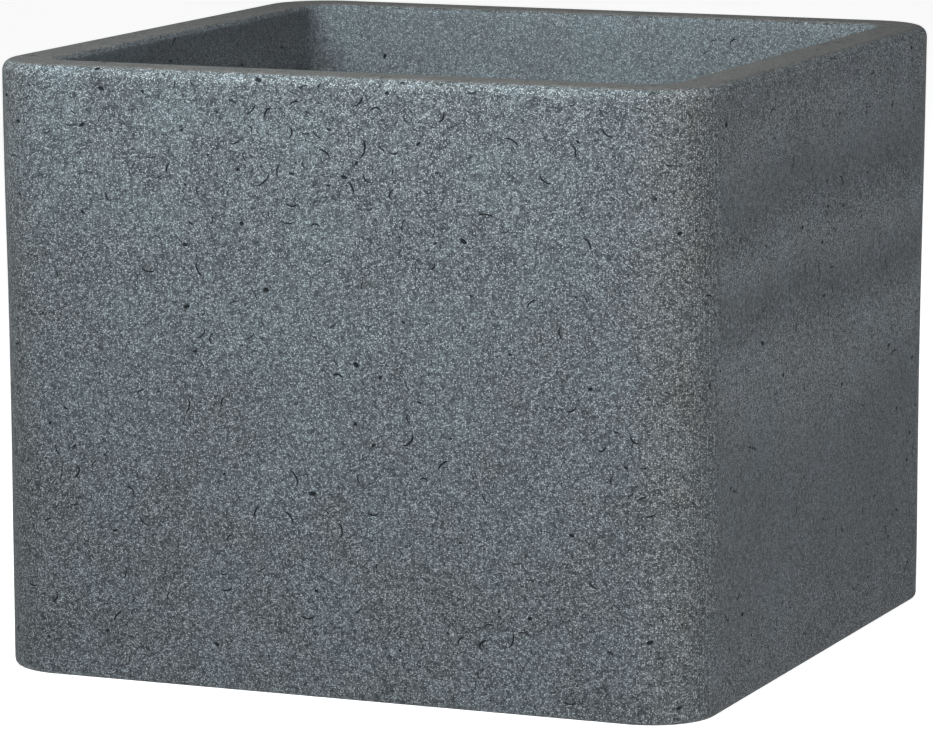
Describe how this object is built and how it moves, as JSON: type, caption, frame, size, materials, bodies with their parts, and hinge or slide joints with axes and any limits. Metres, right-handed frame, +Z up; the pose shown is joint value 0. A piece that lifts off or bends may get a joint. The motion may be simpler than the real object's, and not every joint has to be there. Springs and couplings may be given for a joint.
{
  "type": "planter box",
  "caption": "Square stone-effect planter with rounded corners and a broad rim, a double-skinned hollow shell with pull-out drain plugs in its floor.",
  "frame": {"origin": "on the ground, at the middle of the foot", "axes": "+Z up through the planting space, +X to the right, -Y to the front"},
  "size_m": [0.39, 0.39, 0.315],
  "materials": {
    "stone_effect": "dull blue-grey moulded plastic with a dense pale speckle, small open bubbles and a smoother rim",
    "plug_rubber": "matt black moulded rubber",
    "vent_plastic": "plain dark grey plastic"
  },
  "bodies": {
    "shell": {"planter_shell": "stone_effect", "vent_plug": "vent_plastic"},
    "plug_front_left": {"drain_plug_front_left": "plug_rubber"},
    "plug_front_right": {"drain_plug_front_right": "plug_rubber"},
    "plug_rear_left": {"drain_plug_rear_left": "plug_rubber"},
    "plug_rear_right": {"drain_plug_rear_right": "plug_rubber"}
  },
  "joints": [
    {"name": "pull_plug_front_left", "type": "slide", "parent": "shell", "child": "plug_front_left", "axis": [0, 0, 1], "range_m": [0, 0.3]},
    {"name": "pull_plug_front_right", "type": "slide", "parent": "shell", "child": "plug_front_right", "axis": [0, 0, 1], "range_m": [0, 0.3]},
    {"name": "pull_plug_rear_left", "type": "slide", "parent": "shell", "child": "plug_rear_left", "axis": [0, 0, 1], "range_m": [0, 0.3]},
    {"name": "pull_plug_rear_right", "type": "slide", "parent": "shell", "child": "plug_rear_right", "axis": [0, 0, 1], "range_m": [0, 0.3]}
  ]
}
